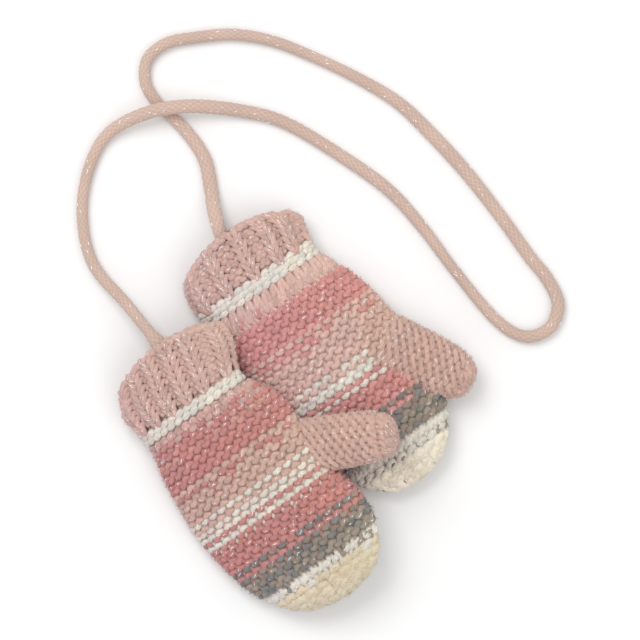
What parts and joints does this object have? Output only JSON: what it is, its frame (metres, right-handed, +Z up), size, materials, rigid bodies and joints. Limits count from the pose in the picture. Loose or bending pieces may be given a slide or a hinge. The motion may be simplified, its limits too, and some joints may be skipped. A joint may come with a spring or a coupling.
{
  "type": "knitted mittens",
  "caption": "Pair of small child's striped knitted mittens with ribbed cuffs and a fleece lining, joined by a knitted neck cord.",
  "frame": {"origin": "on the table, under the middle of the two mittens", "axes": "+Z up, +X to the right along the table, +Y up the table towards the neck cord; the mittens point towards -Y"},
  "size_m": [0.2199, 0.2616, 0.0418],
  "materials": {
    "pink_knit": "matte knit with silver flecks",
    "striped_knit": "matte knit with silver flecks",
    "cream_knit": "matte knit",
    "fleece": "soft pile",
    "thread": "matte thread"
  },
  "bodies": {
    "back_mitten": {"back_cuff": "pink_knit", "back_hand": "striped_knit", "back_fingertip": "cream_knit", "back_lining": "fleece", "back_cord_stitches": "thread", "neck_cord": "pink_knit"},
    "back_mitten_thumb": {"back_thumb": "pink_knit", "back_thumb_lining": "fleece"},
    "front_mitten": {"front_cuff": "pink_knit", "front_hand": "striped_knit", "front_fingertip": "cream_knit", "front_lining": "fleece", "front_cord_stitches": "thread"},
    "front_mitten_thumb": {"front_thumb": "pink_knit", "front_thumb_lining": "fleece"}
  },
  "joints": [
    {"name": "front_mitten_swing", "type": "hinge", "parent": "back_mitten", "child": "front_mitten", "pos_m": [-0.0603, 0.0279, 0.01658], "axis": [0, 0, 1], "range_deg": [-35, 0]},
    {"name": "back_thumb_swing", "type": "hinge", "parent": "back_mitten", "child": "back_mitten_thumb", "pos_m": [0.03676, 0.03214, 0.01123], "axis": [0, 0, 1], "range_deg": [0, 20], "stiffness_Nm_per_rad": 0.005},
    {"name": "front_thumb_swing", "type": "hinge", "parent": "front_mitten", "child": "front_mitten_thumb", "pos_m": [0.00603, -0.01562, 0.0253], "axis": [-0.238, -0.1698, 0.9563], "range_deg": [0, 20], "stiffness_Nm_per_rad": 0.005}
  ]
}
